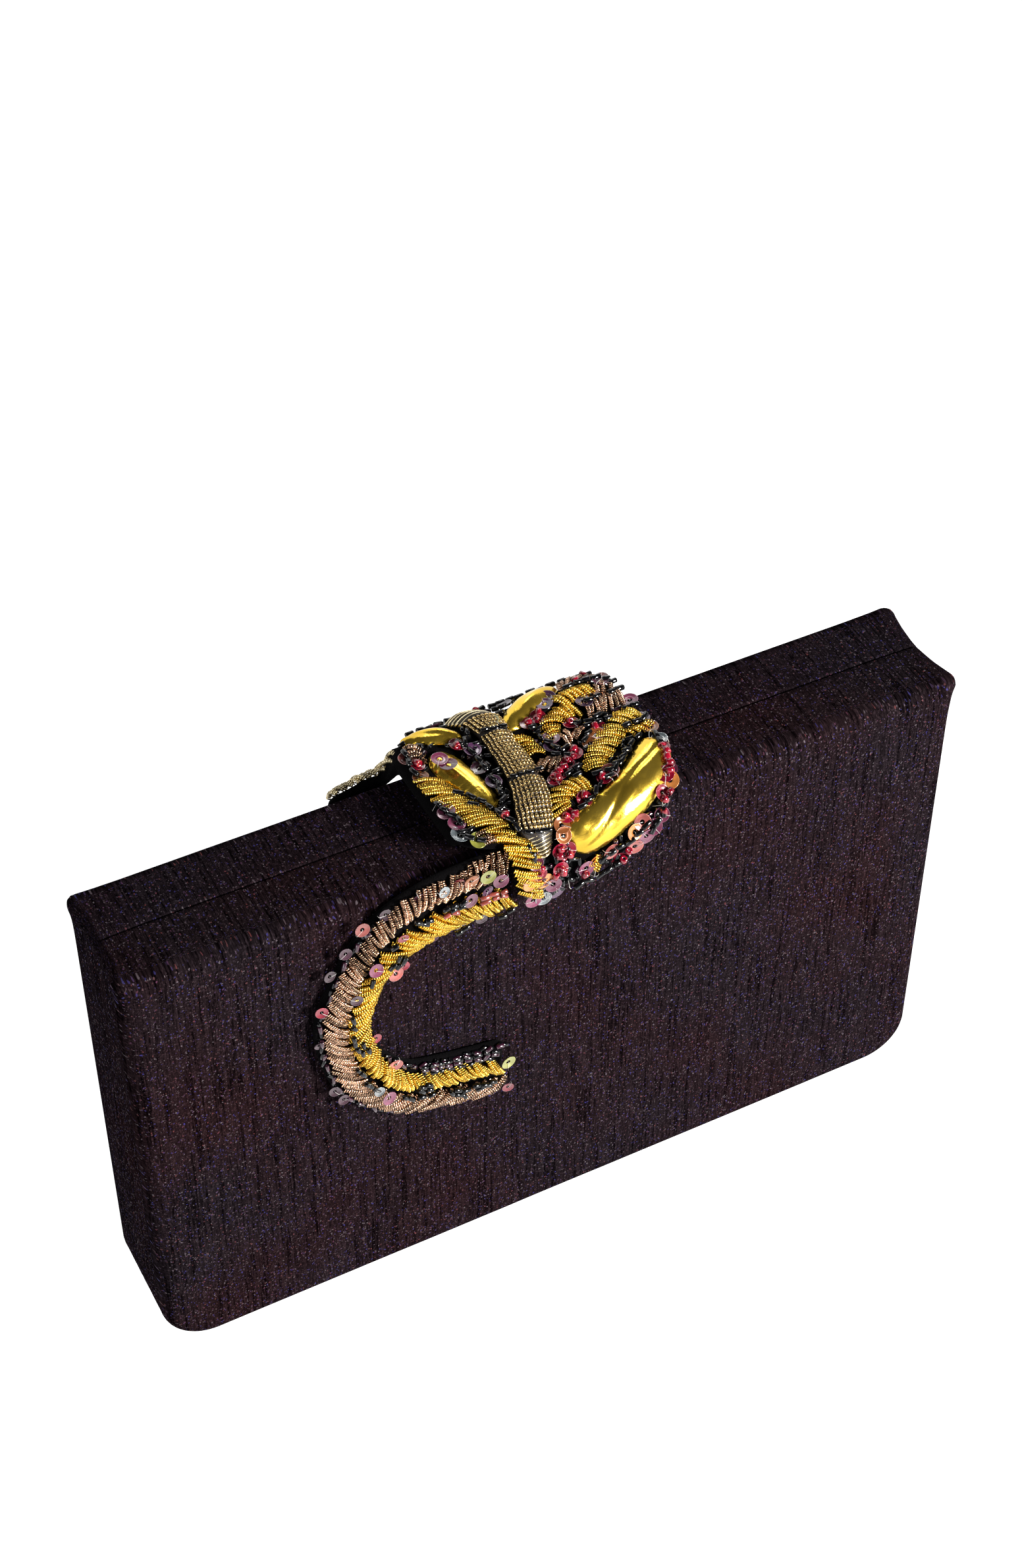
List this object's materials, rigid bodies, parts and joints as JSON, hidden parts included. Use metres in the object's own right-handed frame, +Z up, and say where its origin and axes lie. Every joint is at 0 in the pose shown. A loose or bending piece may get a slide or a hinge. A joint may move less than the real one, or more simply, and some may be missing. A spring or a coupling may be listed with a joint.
{
  "type": "clutch purse",
  "caption": "Hard-sided silk evening clutch: two hinged half cases closed by a padded, embroidered fold-over tab with a magnet.",
  "frame": {"origin": "middle of the base that the closed case stands on", "axes": "+X along the width, +Y towards the back, +Z up"},
  "size_m": [0.2032, 0.0484, 0.1364],
  "materials": {
    "silk_front": "slubbed black-aubergine shantung silk, soft sheen",
    "silk_back": "slubbed black-aubergine shantung silk, soft sheen",
    "satin_lining": "smooth satin",
    "velvet": "black velvet pile",
    "wadding": "matte wadding",
    "fibreboard": "raw board",
    "steel": "plated",
    "hinge_brass": "satin plated",
    "gold_leather": "metallic kid leather, lightly wrinkled",
    "gold_purl": "bright coiled wire",
    "bronze_purl": "rose bronze coiled wire",
    "ivory_purl": "pale coiled wire",
    "bronze_wire": "couched metal thread",
    "black_bead": "glossy glass bugle",
    "crimson_bead": "glossy",
    "sequin": "pearlised"
  },
  "bodies": {
    "back_half": {"back_cover": "silk_back", "back_wadding": "wadding", "back_board": "fibreboard", "back_lining": "satin_lining", "slip_pocket": "satin_lining", "keeper_disc": "steel", "hinge_leaf_back": "hinge_brass", "hinge_pin": "steel", "hinge_rivets_back": "hinge_brass"},
    "front_half": {"front_cover": "silk_front", "front_wadding": "wadding", "front_board": "fibreboard", "front_lining": "satin_lining", "closing_lip": "satin_lining", "hinge_leaf_front": "hinge_brass", "hinge_rivets_front": "hinge_brass", "tab_hinge_strip": "velvet", "tail_backing": "velvet", "tail_gold_purl": "gold_purl", "tail_bronze_purl": "bronze_purl", "tail_black_beads": "black_bead", "tail_sequins": "sequin"},
    "tab": {"tab_backing": "velvet", "tab_padding": "velvet", "tab_magnet": "steel", "leaf_large": "gold_leather", "leaf_left": "gold_leather", "leaf_back_left": "gold_leather", "leaf_back_right": "gold_leather", "belly_wires": "bronze_wire", "tab_gold_purl": "gold_purl", "tab_bronze_purl": "bronze_purl", "tab_black_beads": "black_bead", "tab_crimson_beads": "crimson_bead", "tab_sequins": "sequin", "tab_edge_purl": "ivory_purl"}
  },
  "joints": [
    {"name": "case_hinge", "type": "hinge", "parent": "back_half", "child": "front_half", "pos_m": [0, 0, 0.0022], "axis": [1, 0, 0], "range_deg": [0, 80]},
    {"name": "tab_fold", "type": "hinge", "parent": "front_half", "child": "tab", "pos_m": [0, -0.01625, 0.113], "axis": [1, 0, 0], "range_deg": [0, 90]}
  ]
}
